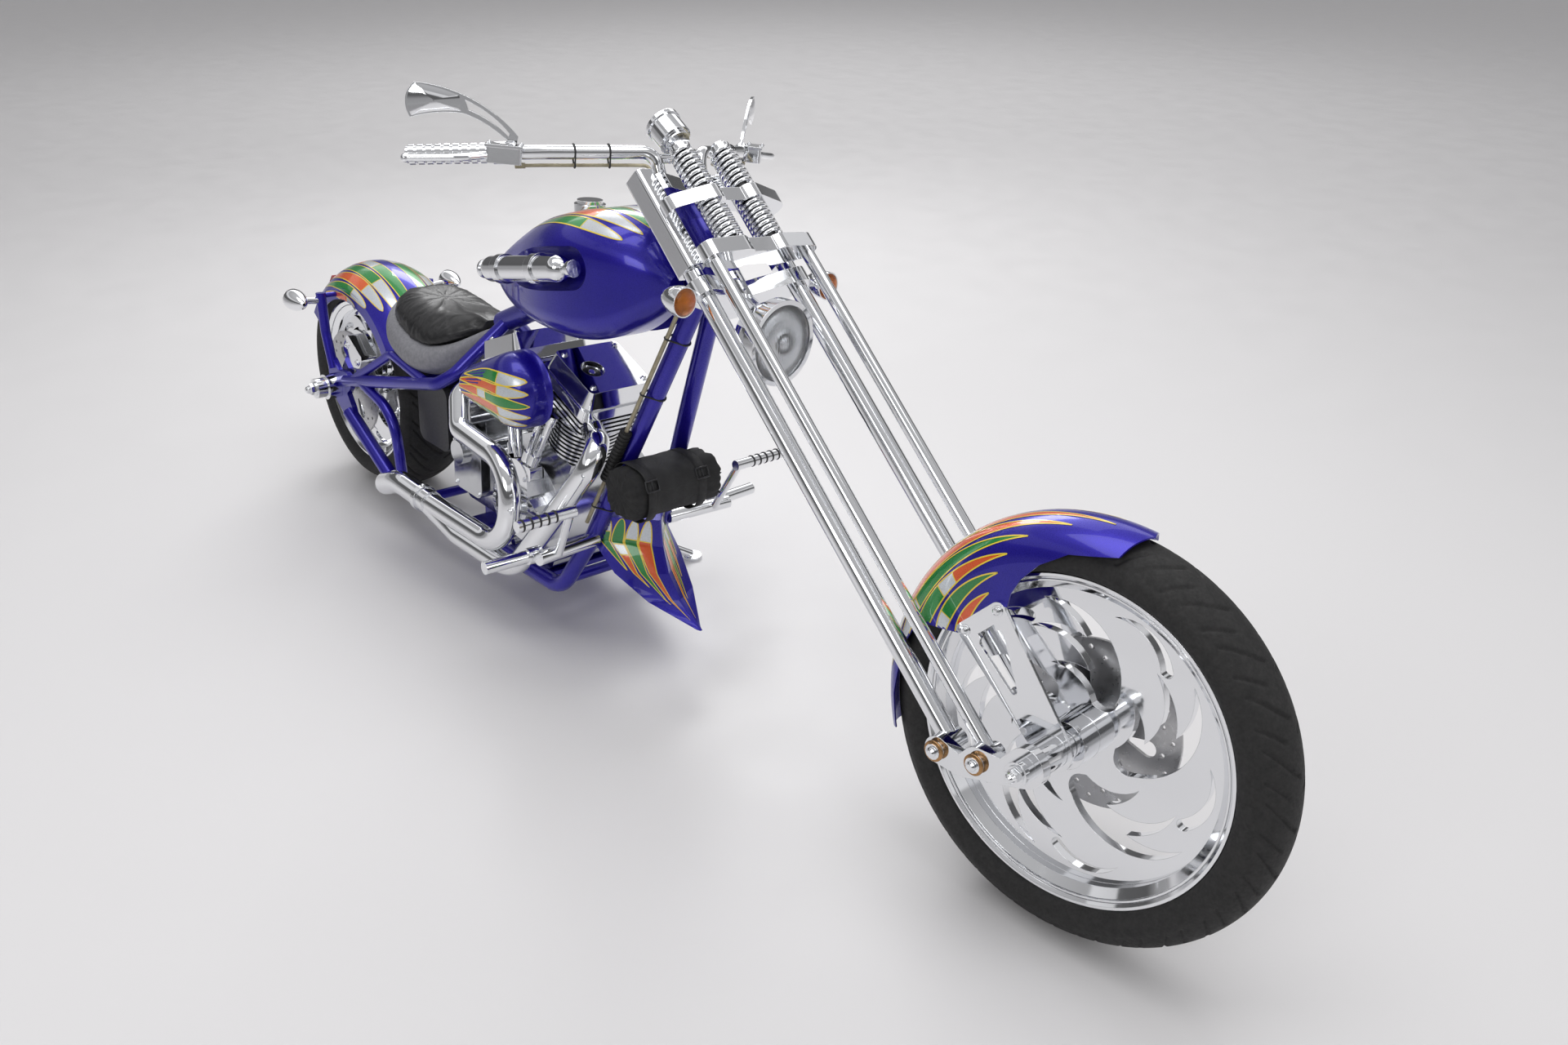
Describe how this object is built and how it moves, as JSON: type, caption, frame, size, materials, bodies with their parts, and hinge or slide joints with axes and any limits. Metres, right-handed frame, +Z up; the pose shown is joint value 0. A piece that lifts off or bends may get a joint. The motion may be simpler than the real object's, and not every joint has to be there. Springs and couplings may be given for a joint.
{
  "type": "motorcycle",
  "caption": "Long-fork custom chopper motorcycle with sprung girder fork, V-twin engine and side stand, parked leaning left.",
  "frame": {"origin": "middle of the bounding box, on the ground", "axes": "+X towards the front wheel, +Y to the rider's left, +Z up from the ground"},
  "size_m": [2.9442, 0.9109, 1.2382],
  "materials": {
    "candy_paint": "candy gloss",
    "braided_hose": "braided",
    "belt_rubber": "moulded",
    "chrome": "polished",
    "cast_alloy": "polished cast",
    "disc_steel": "ground",
    "black_metal": "satin black",
    "amber_lens": "clear amber",
    "tyre": "road",
    "clear_lens": "fluted",
    "seat_skirt": "silver grey",
    "seat_leather": "gathered black",
    "red_lens": "clear red",
    "bag_fabric": "woven black"
  },
  "bodies": {
    "chassis": {"air_cleaner": "candy_paint", "cable_boot": "belt_rubber", "cam_cover": "chrome", "carburettor": "chrome", "chin_spoiler": "candy_paint", "crankcase": "cast_alloy", "down_cable": "braided_hose", "drive_belt": "belt_rubber", "exhaust": "chrome", "foot_controls": "chrome", "frame": "candy_paint", "front_cylinder": "black_metal", "front_rocker_box": "chrome", "fuel_cap": "chrome", "fuel_tank": "candy_paint", "gas_bottles": "chrome", "gearbox": "cast_alloy", "oil_tank": "black_metal", "primary_cover": "chrome", "pushrod_tubes": "chrome", "rear_axle": "chrome", "rear_caliper": "chrome", "rear_cylinder": "black_metal", "rear_fender": "candy_paint", "rear_rocker_box": "chrome", "rear_signal_lenses": "amber_lens", "rear_signals": "chrome", "seat_base": "seat_skirt", "seat_pad": "seat_leather", "tail_light": "red_lens", "tool_bag": "bag_fabric"},
    "steering": {"bar_cables": "braided_hose", "fender_brackets": "chrome", "fork_front_legs": "chrome", "fork_rear_legs": "chrome", "fork_rockers": "chrome", "fork_springs": "chrome", "fork_yokes": "chrome", "front_axle": "chrome", "front_caliper": "chrome", "front_fender": "candy_paint", "front_signal_lenses": "amber_lens", "front_signals": "chrome", "gauge": "chrome", "grips": "chrome", "hand_controls": "chrome", "handlebar": "chrome", "headlight": "chrome", "headlight_lens": "clear_lens", "mirrors": "chrome", "spring_bridge": "chrome", "spring_perch": "chrome"},
    "front_wheel": {"front_brake_disc": "disc_steel", "front_rim": "chrome", "front_tyre": "tyre"},
    "rear_wheel": {"rear_brake_disc": "disc_steel", "rear_pulley": "chrome", "rear_rim": "chrome", "rear_tyre": "tyre"},
    "side_stand": {"side_stand": "chrome"}
  },
  "joints": [
    {"name": "steering_turn", "type": "hinge", "parent": "chassis", "child": "steering", "pos_m": [0.17279, -0.00315, 0.93385], "axis": [-0.7504, 0.0599, 0.6583], "range_deg": [-29.2, 20.8]},
    {"name": "front_wheel_spin", "type": "hinge", "parent": "steering", "child": "front_wheel", "pos_m": [1.12151, -0.0427, 0.3479], "axis": [-0.0484, 0.9882, -0.1451], "continuous": true},
    {"name": "rear_wheel_spin", "type": "hinge", "parent": "chassis", "child": "rear_wheel", "pos_m": [-1.16617, -0.06039, 0.30528], "axis": [0, 0.9959, -0.0906], "continuous": true},
    {"name": "side_stand_fold", "type": "hinge", "parent": "chassis", "child": "side_stand", "pos_m": [-0.26122, 0.09387, 0.10223], "axis": [0.0511, 0.5746, 0.8168], "range_deg": [0, 102.86]}
  ]
}
